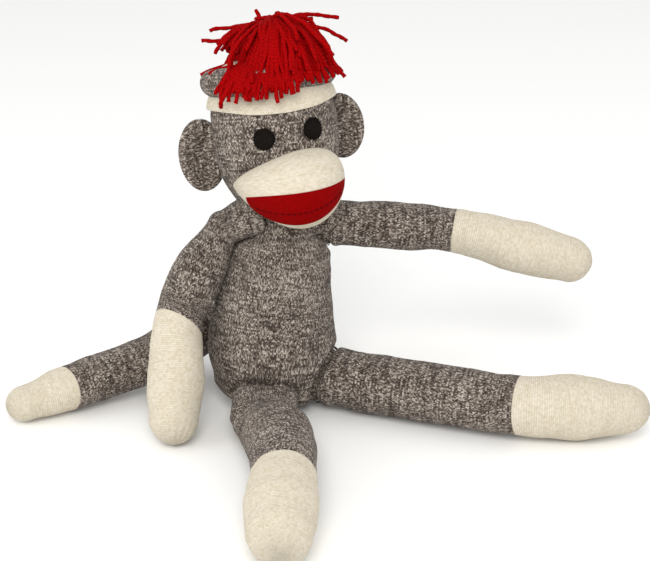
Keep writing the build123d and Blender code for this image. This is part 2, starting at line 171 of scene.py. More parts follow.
KNOT_AT = (0.0, -3.0, 140.0)  # where the pompom's yarn parts
MOP_AT = (11.0, -17.0, 97.0)  # the heap of yarn, by its middle, radius and height
MOP_RADIUS = 32.0
MOP_HEIGHT = 43.0
MOP_FRONT = math.pi - 0.3  # the way most of it falls, round from the back
MOP_ONE_SIDE = (3.6, 18)  # how closely strands gather to the front, and how fast they shorten from it
MOP_OTHER_SIDE = (2.4, 8)
MOP_LAYER = (-3.0, 5.0)  # height of a strand over the heap
YARN_SEED = 7
STRANDS = 420
STRAND_TURN = 0.2
STRAND_LIFT = (-0.2, 0.4)
STRAND_START = (0.5, 9.0)  # distance from the knot
STRAND_SHARE = (0.78, 1.0)  # how much of its full length a strand has
STRAND_DROOP = (0.04, 0.1)
STRAND_LENGTH = 37.0
STRAND_FRONT = 45.0  # how much longer a strand in front is
YARN = 1.5
YARN_PLIES = 0.13  # how deep the grooves between plies are, as a share of the radius
YARN_TWIST = 0.9
YARN_STEP = 2.6
YARN_WAVER = 0.1
STRAY_START = 4
STRAY_LAYER = 4
STRAY_DROOP = 0.02
GOLDEN = 0.618034
TIE_POINTS = 33
TIE_RADIUS = 4.2
TIE_LEVELS = (0.0, 2.6, 5.2)
# Stray lengths of yarn: the angle round from the back, the lift and the length.
STRAYS = [
    (0.0, 1.4, 14), (1.6, 0.05, 34), (1.8, -0.1, 46), (1.75, -0.25, 58), (1.4, -0.05, 40), (2.0, -0.4, 56),
    (4.7, 0.22, 38), (4.9, 0.1, 38), (4.6, -0.3, 50), (4.8, -0.4, 46), (4.9, -0.3, 48), (0.1, 0.1, 36),
    (5.8, 0.1, 40), (0.8, -0.1, 42)]

# Limbs and tail: the bodies from the root out, the joints at the root and at the bend, the
# centre of the round end, the radii at the root, the middle of the first length, the bend,
# the middle of the last length and the round end, how far the middle of the first length
# stands off the straight line, the depth of the round end, how far beyond the bend the cream
# begins, a point inside the torso that the root's cloth starts from with its radius there, how
# far the root's cloth is shifted from its joint, how far the root's top is pressed down by the
# belly over it, and the side on which the cream reaches up, as long as it reaches.
PLAIN = {"bulge": (0, 0, 0), "cuff": 0.0, "shift": (0, 0, 0), "sink": 0, "tilt": (-2.2, -3.9, 2.2)}
LIMBS = {
    "left_arm": dict(
        PLAIN, bodies=("left_shoulder", "left_sleeve", "left_hand"),
        joints=("left_arm_raise", "left_wrist_bend"), tip=(203, -92, 104),
        radii=(17.0, 18.3, 16.6, 20.2, 17.5), toe=19.0, inside=(24, -3, 138, 17.0)),
    "right_arm": dict(
        PLAIN, bodies=("right_shoulder", "right_sleeve", "right_hand"),
        joints=("right_arm_raise", "right_wrist_bend"), tip=(-107, -29, 20),
        radii=(12.5, 20.0, 18.6, 21.4, 18.5), bulge=(-1.0, 1.0, 0), toe=19.5, cuff=6.0,
        inside=(-14, 5, 151.5, 20.0), tilt=(-9.0, -3.0, 1.0)),
    "left_leg": dict(
        PLAIN, bodies=("left_hip", "left_leg", "left_foot"),
        joints=("left_leg_raise", "left_ankle_bend"), tip=(183, -188, 24),
        radii=(22.5, 22.8, 22.0, 24.6, 19.0), toe=23.0, cuff=3.0, inside=(9, -25, 27, 22.0)),
    "right_leg": dict(
        PLAIN, bodies=("right_hip", "right_leg", "right_foot"),
        joints=("right_leg_raise", "right_ankle_bend"), tip=(-113, -204, 23.5),
        radii=(25.0, 25.5, 22.6, 25.6, 22.8), bulge=(5.0, 0, -2.0), toe=22.5, cuff=9.0,
        inside=(-26, -24, 29, 24.0), shift=(-6.0, 0, -2.0), sink=13.0),
    "tail": dict(
        PLAIN, bodies=("tail_root", "tail_base", "tail_end"),
        joints=("tail_raise", "tail_bend"), tip=(-190, 55, 16),
        radii=(17.5, 19.8, 18.8, 17.6, 14.0), toe=16.5, inside=(-14, 28, 47, 17.0)),
}
LAST_MIDDLE = 0.6  # share of the way from the bend to the tip
STEEP = 0.7  # a limb that rises or falls faster than this hangs
TAIL_TIP_LENGTH = 33.0
CUFF_REACH = 24.0  # how far from a cuff the rows of stitches are still tilted
CREASE_DEPTH = 3.2
CREASE_WIDTH = 2.0
CREASE_SWELL = 0.7
SWELL_AT = 6.0
SWELL_WIDTH = 4.0
# Folds round a gathered end: their count and depth, how far the cloth is drawn in, and how
# unevenly they are spaced, in how many bunches.
ROOT_FOLDS = {"count": 23, "depth": 0.7, "drawn": 0.3, "uneven": 1.1, "bunches": 3}
TOE_FOLDS = {"count": 17, "depth": 0.55, "drawn": 0.2, "uneven": 1.5, "bunches": 2}
ROOT_FADE = (-4, 22)  # places along the limb between which the root's folds fade
TOE_FADE = (-2, 14)  # places past the round end's centre between which the toe's folds grow
PRESSED_FADE = (4, 40)  # places along the limb between which its top rises from under the belly
ROOT_INSET = 0.4  # how much smaller a root's cloth is than the limb's
ROOT_MARKS = 60  # places along a root at which its crossing with the torso is looked for
SEWN_MARKS = 5  # how many of those places a stitch at the root reaches over the limb
SEWN_SPAN = 2.2  # how far it reaches over the torso
SEWN_PITCH = 4.2
SEWN_SUNK = 2.5
SEWN_PROUD = 0.3
SEWN_CLEAR = 5.0  # lowest height of one
ROOT_THREAD = 0.4
THREAD_SIDES = 8
STITCH_POINTS = 7
STITCH_ROUND = 0.6  # how a stitch rises: 1 is a sine, and less is squarer
STITCH_DIP = 0.6  # how far its ends go into the cloth, as a share of its height

SEAM_LOW = 40.0
SEAM_STEP = 4.0
SEAM_COUNT = 12
SEAM_ANGLE = 0.055  # half the seam's width, round the torso
SEAM_SLANT = 1.2
SEAM_PROUD = 0.7
SEAM_THREAD = 0.45


# ---- The frame ----

JOINTS = {joint["name"]: joint for joint in frame["joints"]}


def pivot(joint):
    return np.array(JOINTS[joint]["pos_m"]) / MM


def axis(joint):
    return np.array(JOINTS[joint]["axis"])


def unit(vector):
    return vector / np.linalg.norm(vector)


NECK = pivot("head_nod")
HEAD_X = unit(axis("head_nod"))
HEAD_Z = unit(axis("head_turn"))
HEAD_Y = np.cross(HEAD_Z, HEAD_X)


def on_head(across, back, up):
    """A point from its place in the head's own frame."""
    aside = NECK + np.multiply.outer(across, HEAD_X) + np.multiply.outer(back, HEAD_Y)
    return aside + np.multiply.outer(up, HEAD_Z)


# ---- Meshes ----


def placed(name, data):
    """A new object in the scene that holds this data."""
    piece = bpy.data.objects.new(name, data)
    bpy.context.scene.collection.objects.link(piece)
    return piece


def lattice(points, knit, first=0, closed=True, tips=(True, True)):
    """Faces over rows of points, and the knit's column and row at each corner of each face.

    A tip closes the first or last row with a fan.
    """
    rows, across = points.shape[:2]
    span = across if closed else across - 1
    faces = []
    corners = []
    for row in range(rows - 1):
        for column in range(span):
            after = (column + 1) % across
            low = first + row * across
            high = low + across
            faces.append((low + column, low + after, high + after, high + column))
            corners += [knit[row, column], knit[row, column + 1]]
            corners += [knit[row + 1, column + 1], knit[row + 1, column]]
    extra = []
    for tip, row in zip(tips, (0, rows - 1)):
        if not tip:
            continue
        centre = first + rows * across + len(extra)
        extra.append(points[row].mean(axis=0))
        middle = knit[row].mean(axis=0)
        for column in range(span):
            after = (column + 1) % across
            base = first + row * across
            faces.append((base + column, base + after, centre))
            corners += [knit[row, column], knit[row, column + 1], middle]
    flat = points.reshape(-1, 3)
    if extra:
        flat = np.vstack([flat, extra])
    return flat, faces, corners


def joined(name, parts, material):
    """A mesh object of several lattices, each (points, knit, options)."""
    points = []
    faces = []
    corners = []
    count = 0
    for lattice_points, knit, options in parts:
        flat, more_faces, more_corners = lattice(lattice_points, knit, first=count, **options)
        points.append(flat)
        faces += more_faces
        corners += more_corners
        count += len(flat)
    mesh = bpy.data.meshes.new(name)
    mesh.from_pydata((np.vstack(points) * MM).tolist(), [], faces)
    layer = mesh.uv_layers.new(name="knit")
    layer.data.foreach_set("uv", np.asarray(corners, np.float32).ravel())
    mesh.materials.append(material)
    tidy = bmesh.new()
    tidy.from_mesh(mesh)
    bmesh.ops.remove_doubles(tidy, verts=tidy.verts, dist=MERGE * MM)
    bmesh.ops.recalc_face_normals(tidy, faces=tidy.faces)
    tidy.to_mesh(mesh)
    tidy.free()
    mesh.polygons.foreach_set("use_smooth", [True] * len(mesh.polygons))
    return placed(name, mesh)


def surface(name, points, knit, material, **options):
    """A mesh object over one lattice of points."""
    return joined(name, [(points, knit, options)], material)


def smooth_step(value, low, high):
    share = np.clip((value - low) / (high - low), 0, 1)
    return share * share * (3 - 2 * share)


def lumps(points, size, seed=0.0):
    """Smooth noise from -1 to 1 at each point, with lumps of this size."""
    shift = Vector((seed, seed * 0.7, -seed))
    values = [noise.noise(Vector(point) / size + shift) for point in points.reshape(-1, 3)]
    return np.array(values).reshape(points.shape[:-1])


def settled(points):
    """The points with whatever would sink into the floor pressed flat on it."""
    height = points[..., 2]
    reach = FLOOR_SOFT - FLOOR_CLEAR
    pressed = FLOOR_CLEAR + reach * np.exp((np.minimum(height, FLOOR_SOFT) - FLOOR_SOFT) / reach)
    points[..., 2] = np.where(height < FLOOR_SOFT, pressed, height)
    return points


class Spine:
    """A smooth curve through keys of (x, y, z, radius), measured along its length."""

    SAMPLES = 40

    def __init__(self, keys):
        keys = np.array(keys, float)
        before = 2 * keys[0] - keys[1]
        after = 2 * keys[-1] - keys[-2]
        before[3] = keys[0, 3]
        after[3] = keys[-1, 3]
        line = np.vstack([before, keys, after])
        share = np.linspace(0, 1, self.SAMPLES, endpoint=False)[:, None]
        pieces = []
        for a, b, c, d in zip(line, line[1:], line[2:], line[3:]):
            bend = 2 * b + (c - a) * share + (2 * a - 5 * b + 4 * c - d) * share**2
            pieces.append((bend + (3 * b - a - 3 * c + d) * share**3) / 2)
        self.line = np.vstack(pieces + [keys[-1:]])
        steps = np.linalg.norm(np.diff(self.line[:, :3], axis=0), axis=1)
        self.marks = np.concatenate([[0], np.cumsum(steps)])
        self.key_marks = self.marks[:: self.SAMPLES]
        self.length = self.marks[-1]

    def point(self, along):
        along = np.atleast_1d(along)
        place = np.stack([np.interp(along, self.marks, self.line[:, i]) for i in range(3)], axis=-1)
        head = unit(self.line[0, :3] - self.line[1, :3])
        tail = unit(self.line[-1, :3] - self.line[-2, :3])
        place += np.maximum(-along, 0)[:, None] * head
        place += np.maximum(along - self.length, 0)[:, None] * tail
        return place

    def radius(self, along):
        return np.interp(along, self.marks, self.line[:, 3])

    def frames(self, along, back):
        """Tangents, and two directions square to them that don't twist, the first towards back."""
        tangents = self.point(along + 0.5) - self.point(along - 0.5)
        tangents /= np.linalg.norm(tangents, axis=1)[:, None]
        first = np.empty_like(tangents)
        current = np.array(back, float)
        for i, tangent in enumerate(tangents):
            current = unit(current - (current @ tangent) * tangent)
            first[i] = current
        return tangents, first, np.cross(tangents, first)


def rounded_end(depth):
    """Rings of a rounded end from its rim outwards: how far out, share of the radius, and lean."""
    count = max(4, int(depth * math.pi / 2 / CELL))
    angles = [END_ANGLE * i / count for i in range(1, count + 1)]
    return [(depth * math.sin(angle), math.cos(angle), math.sin(angle)) for angle in angles]


def stations(start, end, caps):
    """Rings along a skin: their places, shares of the radius, and the normals' lean along it."""
    rings = []
    if caps[0]:
        rings += [(start - out, share, -lean) for out, share, lean in reversed(rounded_end(caps[0]))]
    else:
        rings += [(start + inward, share, 0) for inward, share in CUFF_EDGE]
        start += CUFF_START
    last = end if caps[1] else end - CUFF_START
    rings += [(place, 1, 0) for place in np.linspace(start, last, max(2, int((end - start) / CELL)))]
    if caps[1]:
        rings += [(end + out, share, lean) for out, share, lean in rounded_end(caps[1])]
    else:
        rings += [(end - inward, share, 0) for inward, share in reversed(CUFF_EDGE)]
    return np.array(rings).T


def skin_points(spine, start, end, caps, around, back, change, cuff, tilt):
    """Points and normals of a round skin along a spine. At a cuff its edge is tilted."""
    places, shares, leans = stations(start, end, caps)
    tangents, first, second = spine.frames(places, back)
    turn = np.arange(around) / around * math.tau
    ring = np.cos(turn)[None, :, None] * first[:, None, :]
    ring = ring + np.sin(turn)[None, :, None] * second[:, None, :]
    along = places[:, None] + np.zeros(around)[None, :]
    if cuff is not None:
        near = 1 - smooth_step(np.abs(along - cuff), 0, CUFF_REACH)
        along = along - near * (ring @ np.array(tilt))
    radius = spine.radius(np.clip(along.ravel(), 0, spine.length)).reshape(along.shape)
    reach = radius * shares[:, None]
    normals = ring * np.sqrt(1 - leans**2)[:, None, None]
    normals = normals + tangents[:, None, :] * leans[:, None, None]
    if change:
        reach = reach + change(along, turn[None, :], shares[:, None])
    centres = spine.point(along.ravel()).reshape(*along.shape, 3)
    return centres + ring * reach[..., None], normals


def knit_of(rows, columns):
    """The knit's column and row at each point of a lattice that has one more column than points."""
    return np.stack(np.broadcast_arrays(columns, rows), axis=-1)


def in_rows(steps, around, widest):
    """The knit of a skin whose rows of points are these steps apart."""
    rows = np.concatenate([[0], np.cumsum(steps)]) / COURSE
    columns = np.arange(around + 1) / around * round(widest * math.tau / WALE)
    return knit_of(rows[:, None], columns[None, :])


def lumpy(points, pucker):
    """How far the stuffing moves a skin out or in at each point."""
    return lumps(points, LUMP) * pucker + lumps(points, SMALL_LUMP, SMALL_SEED) * pucker * SMALL_SHARE


def skin(name, spine, start, end, caps, back, material, change=None, pucker=PUCKER, cuff=None, tilt=None,
         crease=None):
    """A stuffed knitted skin along a spine, its stitches in columns along it and rows around it.

    Change moves it by the place along and around it, and crease by the place in space.
    """
    widest = spine.radius(np.linspace(start, end, 20)).max()
    around = int(widest * math.tau / CELL)
    points, normals = skin_points(spine, start, end, caps, around, back, change, cuff, tilt)
    moved = lumpy(points, pucker)
    if crease:
        moved = moved + crease(points)
    points = settled(points + normals * moved[..., None])
    walk = np.linalg.norm(np.diff(points.mean(axis=1), axis=0), axis=1)
    sides = np.linalg.norm(np.diff(points[:, 0], axis=0), axis=1)
    return surface(name, points, in_rows(np.maximum(walk, sides), around, widest), material)


# ---- Materials ----


class Nodes:
    """A material's node tree, with short calls for the few kinds of node used here."""

    def __init__(self, name, roughness, sheen, shine):
        self.material = bpy.data.materials.new(name)
        self.material.use_nodes = True
        self.tree = self.material.node_tree
        self.shader = self.tree.nodes["Principled BSDF"]
        self.shader.inputs["Roughness"].default_value = roughness
        self.shader.inputs["Sheen Weight"].default_value = sheen
        self.shader.inputs["Sheen Roughness"].default_value = 0.6
        self.shader.inputs["Specular IOR Level"].default_value = shine

    def add(self, kind, **values):
        node = self.tree.nodes.new(kind)
        for key, value in values.items():
            setattr(node, key, value)
        return node

    def link(self, start, end):
        self.tree.links.new(start, end)

    def fill(self, socket, value):
        if isinstance(value, bpy.types.NodeSocket):
            self.link(value, socket)
        else:
            socket.default_value = value

    def math(self, operation, first, second=0.0, third=0.0):
        node = self.add("ShaderNodeMath", operation=operation)
        for socket, value in zip(node.inputs, (first, second, third)):
            self.fill(socket, value)
        return node.outputs[0]

    def times(self, value, factor):
        return self.math("MULTIPLY", value, factor)

    def hump(self, value):
        """A round hump over each whole step of the value."""
        return self.math("SINE", self.times(self.math("FRACT", value), math.pi))

    def knit(self):
        """The knit's column and row, or for yarn the way round it and along it."""
        place = self.add("ShaderNodeUVMap", uv_map="knit").outputs[0]
        split = self.add("ShaderNodeSeparateXYZ")
        self.link(place, split.inputs[0])
        return split.outputs[0], split.outputs[1]

    def vector(self, x, y, z=0.0):
        node = self.add("ShaderNodeCombineXYZ")
        for socket, value in zip(node.inputs, (x, y, z)):
            self.fill(socket, value)
        return node.outputs[0]

    def noise(self, vector, scale, detail=2.0, roughness=0.5):
        node = self.add("ShaderNodeTexNoise")
        self.link(vector, node.inputs["Vector"])
        node.inputs["Scale"].default_value = scale
        node.inputs["Detail"].default_value = detail
        node.inputs["Roughness"].default_value = roughness
        return node.outputs["Fac"]

    def ramp(self, value, stops):
        node = self.add("ShaderNodeValToRGB")
        self.link(value, node.inputs["Fac"])
        while len(node.color_ramp.elements) < len(stops):
            node.color_ramp.elements.new(0.5)
        for element, (place, colour) in zip(node.color_ramp.elements, stops):
            element.position = place
            element.color = (*linear(colour), 1)
        return node.outputs["Color"]

    def shaded(self, colour, shade):
        node = self.add("ShaderNodeMix", data_type="RGBA", blend_type="MULTIPLY")
        node.inputs["Factor"].default_value = 1.0
        self.link(colour, node.inputs[6])
        self.link(shade, node.inputs[7])
        return node.outputs[2]

    def bump(self, height, distance, strength=1.0, before=None):
        node = self.add("ShaderNodeBump")
        node.inputs["Distance"].default_value = distance * MM
        node.inputs["Strength"].default_value = strength
        self.link(height, node.inputs["Height"])
        if before is not None:
            self.link(before, node.inputs["Normal"])
        return node.outputs["Normal"]

    def finish(self, colour, normal):
        self.link(colour, self.shader.inputs["Base Color"])
        self.link(normal, self.shader.inputs["Normal"])
        return self.material


def linear(colour):
    """Scene-linear values of a colour given as a hexadecimal number."""
    parts = ((colour >> 16) & 255, (colour >> 8) & 255, colour & 255)
    return [(part / 255 / 12.92) if part < 11 else ((part / 255 + 0.055) / 1.055) ** 2.4 for part in parts]


STITCH_LEAN = 1.3  # how steeply the two legs of a stitch rise from its middle
LEG_ROUND = 0.7
LEG_MIDDLE = 0.4  # height of a stitch where its legs meet, as a share of the highest
STRETCH = 0.09  # how fast a row's shade drifts, for each column
HAIRS = (3.0, 9.0)  # how fine the fibres are along and across a row
ROW_JUMP = 7.31  # how far apart in the noise two rows are, so that they share no flecks
DRIFT_JUMP = 3.17
DRIFT = 0.42  # how much stretches of a row differ in shade
BROAD = 0.14  # how much patches of the cloth do


def knitted(name, stops, shade, streak, roughness, bump):
    """A knitted cloth: yarn whose colour changes along each row, a V for each stitch, fibres, and painted
    shade in the hollows between stitches.
    """
    nodes = Nodes(name, roughness, sheen=0.08, shine=0.15)
    column, row = nodes.knit()
    side = nodes.math("ABSOLUTE", nodes.math("SUBTRACT", nodes.math("FRACT", column), 0.5))
    lean = nodes.math("MULTIPLY_ADD", side, STITCH_LEAN, row)
    across = nodes.math("SINE", nodes.times(side, math.tau))
    strand = nodes.math("POWER", nodes.hump(lean), LEG_ROUND)
    height = nodes.times(strand, nodes.math("MULTIPLY_ADD", across, 1 - LEG_MIDDLE, LEG_MIDDLE))
    row = nodes.math("FLOOR", lean)
    along_yarn = nodes.vector(nodes.times(column, streak), nodes.times(row, ROW_JUMP))
    marl = nodes.noise(along_yarn, scale=1.0, detail=1.0, roughness=0.6)
    stretches = nodes.vector(nodes.times(column, STRETCH), nodes.times(row, DRIFT_JUMP))
    drift = nodes.noise(stretches, scale=1.0, detail=1.0)
    broad = nodes.noise(nodes.vector(column, row, 4.0), scale=0.05)
    uneven = nodes.math("ADD", nodes.times(drift, DRIFT), nodes.times(broad, BROAD))
    value = nodes.math("ADD", marl, nodes.math("SUBTRACT", uneven, (DRIFT + BROAD) / 2))
    # Painted shade: the colour is darkened towards the shade colour where a stitch is low, in the hollows
    # between stitches.
    depth = nodes.ramp(height, [(0.0, shade), (0.75, 0xFFFFFF)])
    colour = nodes.shaded(nodes.ramp(value, stops), depth)
    hairs = nodes.vector(nodes.times(column, HAIRS[0]), nodes.times(lean, HAIRS[1]))
    relief = nodes.bump(nodes.noise(hairs, scale=1.0, detail=3.0), distance=0.12, strength=0.5)
    return nodes.finish(colour, nodes.bump(height, bump, 0.9, relief))


# Shade is the colour of the painted shade in the hollows between stitches.
GREY_KNIT = knitted(
    "grey_marl_knit",
    [(0.33, 0x342A24), (0.44, 0x5C5048), (0.52, 0x7E7268), (0.60, 0xAEA398), (0.70, 0xD6CCC0)],
    shade=0x8A8480, streak=1.05, roughness=0.95, bump=0.5)
CREAM_KNIT = knitted(
    "cream_knit",
    [(0.30, 0xD2C8B2), (0.50, 0xDDD5C4), (0.70, 0xE5DFD2)],
    shade=0xC8BDA8, streak=0.5, roughness=0.9, bump=0.3)


def felted(name, dark, light):
    """Felt: matted fibres with no rows."""
    nodes = Nodes(name, 0.95, sheen=0.0, shine=0.05)
    place = nodes.add("ShaderNodeUVMap", uv_map="knit").outputs[0]
    broad = nodes.noise(place, scale=0.35, detail=3.0)
    fine = nodes.noise(place, scale=3.0, detail=4.0, roughness=0.7)
    value = nodes.math("MULTIPLY_ADD", broad, 0.5, nodes.times(fine, 0.5))
    colour = nodes.ramp(value, [(0.35, dark), (0.65, light)])
    return nodes.finish(colour, nodes.bump(fine, distance=0.25, strength=0.8))


def spun(name, dark, middle, light, plies):
    """Yarn or thread: plies winding around it, with painted shade in the gaps between them."""
    nodes = Nodes(name, 0.85, sheen=0.0, shine=0.05)
    around, along = nodes.knit()
    winding = nodes.math("MULTIPLY_ADD", around, plies, nodes.times(along, 0.35))
    fibre = nodes.noise(nodes.vector(nodes.times(winding, 4.0), along), scale=1.5, detail=3.0)
    # Painted shade: the ramp's dark end falls in the gaps between plies, mixed with the fibres' own uneven
    # tone.
    value = nodes.math("MULTIPLY_ADD", fibre, 0.75, nodes.times(nodes.hump(winding), 0.25))
    colour = nodes.ramp(value, [(0.25, dark), (0.5, middle), (0.85, light)])
    return nodes.finish(colour, nodes.bump(value, distance=0.5, strength=0.9))


RED_FELT = felted("red_felt", 0x720000, 0x840103)
BLACK_FELT = felted("black_felt", 0x0B0907, 0x1C1815)
RED_YARN = spun("red_yarn", 0x560000, 0x900002, 0xAE0305, plies=2)
GREY_THREAD = spun("grey_thread", 0x2E2722, 0x4A413A, 0x6A6058, plies=3)
DARK_RED_THREAD = spun("dark_red_thread", 0x2E0002, 0x4E0206, 0x6C060A, plies=3)
BLACK_THREAD = spun("black_thread", 0x050403, 0x100D0B, 0x1F1B18, plies=3)


# ---- Torso and neck ----

TORSO_ALONG = unit(TORSO_TOP - TORSO_LOW)
TORSO_SPINE = Spine([
    (*(TORSO_LOW + TORSO_ALONG * along + np.array((*shift, 0))), radius)
    for (along, radius), shift in zip(TORSO_OUTLINE, TORSO_SHIFT)])


def drawn_thread(clear):
    """How far the cloth is moved near a drawn seam: in along it, and out a little beside it."""
    swell = CREASE_SWELL * np.exp(-((clear - SWELL_AT) / SWELL_WIDTH) ** 2)
    return swell - CREASE_DEPTH * np.exp(-(clear / CREASE_WIDTH) ** 2)


def from_root(points, start, end, radius, sink):
    """Distance of each point from a root around the line through start and end, its top pressed down."""
    run = unit(end - start)
    offset = points - start
    aside = offset - (offset @ run)[..., None] * run
    distance = np.linalg.norm(aside, axis=-1)
    return distance - radius + sink * np.maximum(aside[..., 2] / distance, 0)


def torso_creases(points):
    """The torso's cloth is drawn in around the root of each limb."""
    moved = np.zeros(points.shape[:-1])
    for parts in LIMBS.values():
        root = pivot(parts["joints"][0]) + np.array(parts["shift"])
        inside = np.array(parts["inside"][:3], float)
        clear = from_root(points, inside, root, parts["radii"][0], parts["sink"])
        ahead = (points - inside) @ unit(root - inside) > 0
        moved += np.where(ahead, drawn_thread(clear), 0)
    return moved


def torso():
    piece = skin("torso_skin", TORSO_SPINE, 0, TORSO_SPINE.length, TORSO_CAPS, (0, 1, 0), GREY_KNIT,
                 crease=torso_creases)
    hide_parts("torso_cover", "torso_stuffing")
    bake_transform(piece)


def neck():
    """A short gathered neck between the torso and the head."""
    spine = Spine([(*(NECK + up * HEAD_Z), radius) for up, radius in NECK_OUTLINE])

    def gathers(along, turn, share):
        return NECK_FOLD_DEPTH * np.cos(turn * NECK_FOLDS) * share

    piece = skin("neck_skin", spine, 0, NECK_LENGTH, HIDDEN_CAPS, (0, 1, 0), GREY_KNIT, gathers, pucker=0.4)
    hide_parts("neck_cover", "neck_stuffing")
    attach(piece, "neck")


# ---- Thread ----


def thread_part(path, radius, plies=0.0, twist=0.0):
    """The lattice of a round thread along a path of points, closed at its ends."""
    path = np.asarray(path, float)
    steps = np.gradient(path, axis=0)
    tangents = steps / np.linalg.norm(steps, axis=1)[:, None]
    current = np.cross(tangents[0], UP if abs(tangents[0][2]) < 0.9 else np.array((1.0, 0, 0)))
    turn = np.arange(THREAD_SIDES) / THREAD_SIDES * math.tau
    rings = []
    walked = 0.0
    rows = []
    for i, (place, tangent) in enumerate(zip(path, tangents)):
        current = unit(current - (current @ tangent) * tangent)
        other = np.cross(tangent, current)
        if i:
            walked += np.linalg.norm(place - path[i - 1])
        reach = radius * (1 + plies * np.cos(2 * turn - twist * walked))[:, None]
        rings.append(place + reach * (np.cos(turn)[:, None] * current + np.sin(turn)[:, None] * other))
        rows.append(walked)
    around = np.arange(THREAD_SIDES + 1) / THREAD_SIDES
    knit = knit_of(np.array(rows)[:, None], around[None, :])
    return np.array(rings), knit, {}


def stitch_path(start, end, out, proud):
    """A stitch that leaves the cloth at one point and goes back in at another."""
    share = np.linspace(0, 1, STITCH_POINTS)[:, None]
    rise = (np.sin(share * math.pi) ** STITCH_ROUND * (1 + STITCH_DIP) - STITCH_DIP) * proud
    return start + (end - start) * share + out * rise


def torso_side(along, angle):
    """A point on the torso's skin and the direction out of it. Angle 0 is straight back."""
    back = unit(np.array((0.0, 1.0, 0.0)) - TORSO_ALONG[1] * TORSO_ALONG)
    side = np.cross(TORSO_ALONG, back)
    out = math.cos(angle) * back + math.sin(angle) * side
    radius = float(TORSO_SPINE.radius(along))
    point = TORSO_SPINE.point(along)[0] + out * radius
    return point + out * float(lumpy(point[None], PUCKER)[0]), out


def closing_seam():
    """Ladder stitches that close the filling hole in the back."""
    parts = []
    for i in range(SEAM_COUNT):
        along = SEAM_LOW + i * SEAM_STEP
        start, out = torso_side(along, -SEAM_ANGLE)
        end, _ = torso_side(along + SEAM_SLANT, SEAM_ANGLE)
        parts.append(thread_part(stitch_path(start, end, out, SEAM_PROUD), SEAM_THREAD))
    piece = joined("closing_seam_thread", parts, GREY_THREAD)
    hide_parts("closing_seam")
    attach(piece, "torso")


# ---- Limbs and tail ----


def limb_spine(parts):
    root = pivot(parts["joints"][0]) + np.array(parts["shift"])
    bend = pivot(parts["joints"][1])
    tip = np.array(parts["tip"], float)
    middle = (root + bend) / 2 + np.array(parts["bulge"])
    last_middle = bend + (tip - bend) * LAST_MIDDLE
    keys = (root, middle, bend, last_middle, tip)
    return Spine([(*key, radius) for key, radius in zip(keys, parts["radii"])])


def back_of(spine):
    """The side of a limb that is turned down, or to the back where it hangs."""
    run = unit(spine.point(spine.length)[0] - spine.point(0)[0])
    return (0, 1, 0) if abs(run[2]) > STEEP else (0, 0, -1)


def folds(turn, count, depth, drawn, uneven, bunches):
    """How far the folds round a gathered end move the cloth."""
    return depth * np.cos(turn * count + uneven * np.sin(turn * bunches)) - drawn


def root_gathers(sink):
    """Folds that fade away from the root, where the cloth is gathered, and its pressed top."""

    def change(along, turn, share):
        fade = 1 - smooth_step(along, *ROOT_FADE)
        pressed = (1 - smooth_step(along, *PRESSED_FADE)) * np.maximum(-np.cos(turn), 0)
        return share * (fade * folds(turn, **ROOT_FOLDS) - sink * pressed)

    return change


def pressed_root(sink):
    """The top of a root's cloth, pressed down."""

    def change(along, turn, share):
        return -sink * share * np.maximum(-np.cos(turn), 0) + 0 * along

    return change


def toe_gathers(length):
    """Small folds around the toe seam."""

    def change(along, turn, share):
        fade = smooth_step(along, length + TOE_FADE[0], length + TOE_FADE[1])
        return fade * folds(turn, **TOE_FOLDS) * np.sqrt(share)

    return change


def limb(name, parts):
    spine = limb_spine(parts)
    root_body, first_body, last_body = parts["bodies"]
    back = back_of(spine)
    bend_mark = spine.key_marks[2]
    bend = spine.point(bend_mark)[0]
    run = unit(spine.point(bend_mark + 1)[0] - spine.point(bend_mark - 1)[0])
    cuff = bend_mark + parts["cuff"] if name != "tail" else spine.length - TAIL_TIP_LENGTH
    tilt = parts["tilt"]
    radius_root = parts["radii"][0]

    grey = skin(first_body + "_skin", spine, 0, cuff, (radius_root, 0), back, GREY_KNIT,
                root_gathers(parts["sink"]), cuff=cuff, tilt=tilt)
    covered = [first_body + "_cover", first_body + "_stuffing"]
    if name == "tail":
        covered.append("tail_end_cover")
    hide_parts(*covered)
    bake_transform(grey)

    cream = skin(last_body + "_skin", spine, cuff, spine.length, (0, parts["toe"]), back, CREAM_KNIT,
                 toe_gathers(spine.length), cuff=cuff, tilt=tilt)
    if name == "tail":
        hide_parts("tail_tip_cover", "tail_end_stuffing")
        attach(cream, last_body)
    else:
        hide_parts(last_body + "_cover", last_body + "_stuffing")
        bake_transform(cream)

    root = pivot(parts["joints"][0]) + np.array(parts["shift"])
    inside = np.array(parts["inside"][:3], float)
    inside_radius = parts["inside"][3]
    middle = (root + inside) / 2
    reach = radius_root - ROOT_INSET
    keys = [(*inside, inside_radius), (*middle, (inside_radius + reach) / 2), (*root, reach)]
    gusset_spine = Spine(keys)
    gusset = skin(root_body + "_skin", gusset_spine, 0, gusset_spine.length, HIDDEN_CAPS, back, GREY_KNIT,
                  pressed_root(parts["sink"]), crease=root_crease)
    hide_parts(root_body + "_cover", root_body + "_stuffing")
    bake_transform(gusset)
    root_stitches(root_body, gusset_spine, reach, back)


def root_crease(points):
    return drawn_thread(outside_torso(points))


def outside_torso(points):
    """How far each point stands outside the torso's skin."""
    along = (points - TORSO_SPINE.point(0)[0]) @ TORSO_ALONG
    along = np.clip(along, 0, TORSO_SPINE.length)
    centres = TORSO_SPINE.point(along.ravel()).reshape(points.shape)
    return np.linalg.norm(points - centres, axis=-1) - TORSO_SPINE.radius(along)


